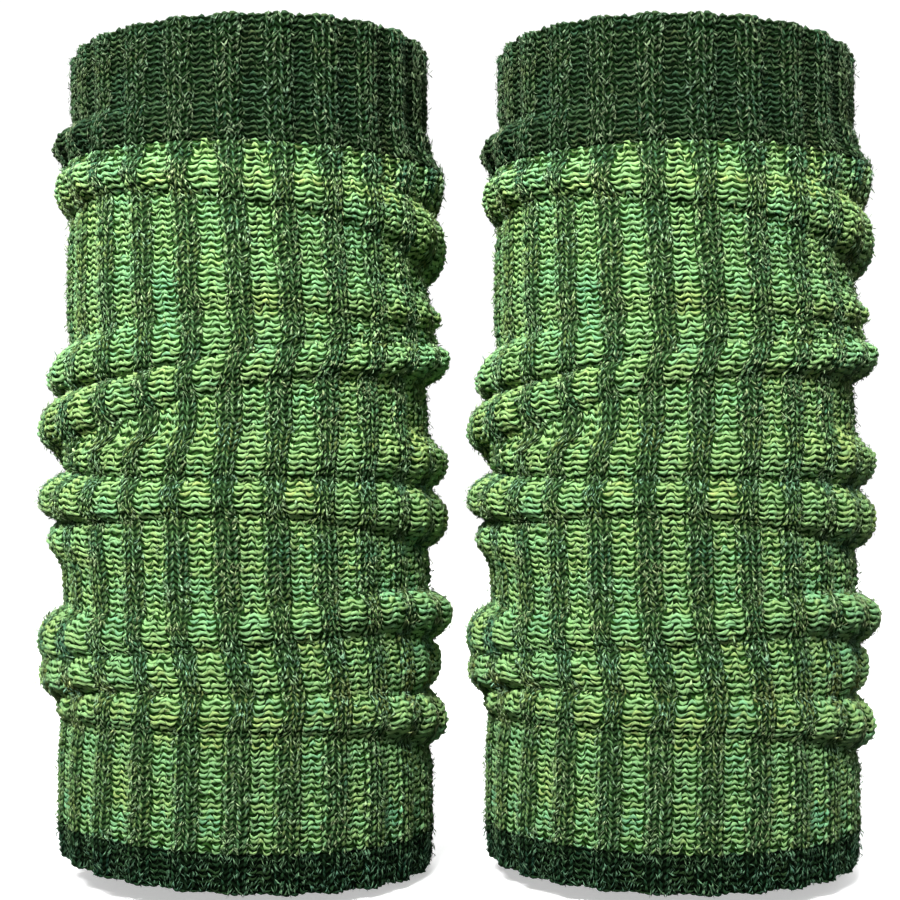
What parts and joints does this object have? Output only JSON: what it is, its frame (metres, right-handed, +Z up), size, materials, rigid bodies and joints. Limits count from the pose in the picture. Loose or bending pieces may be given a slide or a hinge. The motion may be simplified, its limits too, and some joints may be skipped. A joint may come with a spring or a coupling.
{
  "type": "pair of leg warmers",
  "caption": "Hollow slouched leg warmers in rib knit, with a dark cuff, a two-tone leg and a dark hem, filled out as worn.",
  "frame": {"origin": "midway between the axes of the two tubes, at the level of the cuffs where a pair of calves holds them up", "axes": "+Z up the legs, +X from the left tube to the right one, the front faces -Y"},
  "size_m": [0.2958, 0.1335, 0.2873],
  "materials": {
    "dark_wool_rib": "matt fuzzy dark green wool, rib knitted",
    "two_tone_wool_rib": "matt fuzzy wool, raised dark green ribs between light green purl columns",
    "dark_wool_edge": "matt fuzzy dark green wool, rib knitted"
  },
  "bodies": {
    "root": {"left_cuff": "dark_wool_rib", "left_leg": "two_tone_wool_rib", "left_hem": "dark_wool_edge", "right_cuff": "dark_wool_rib", "right_leg": "two_tone_wool_rib", "right_hem": "dark_wool_edge"}
  },
  "joints": []
}
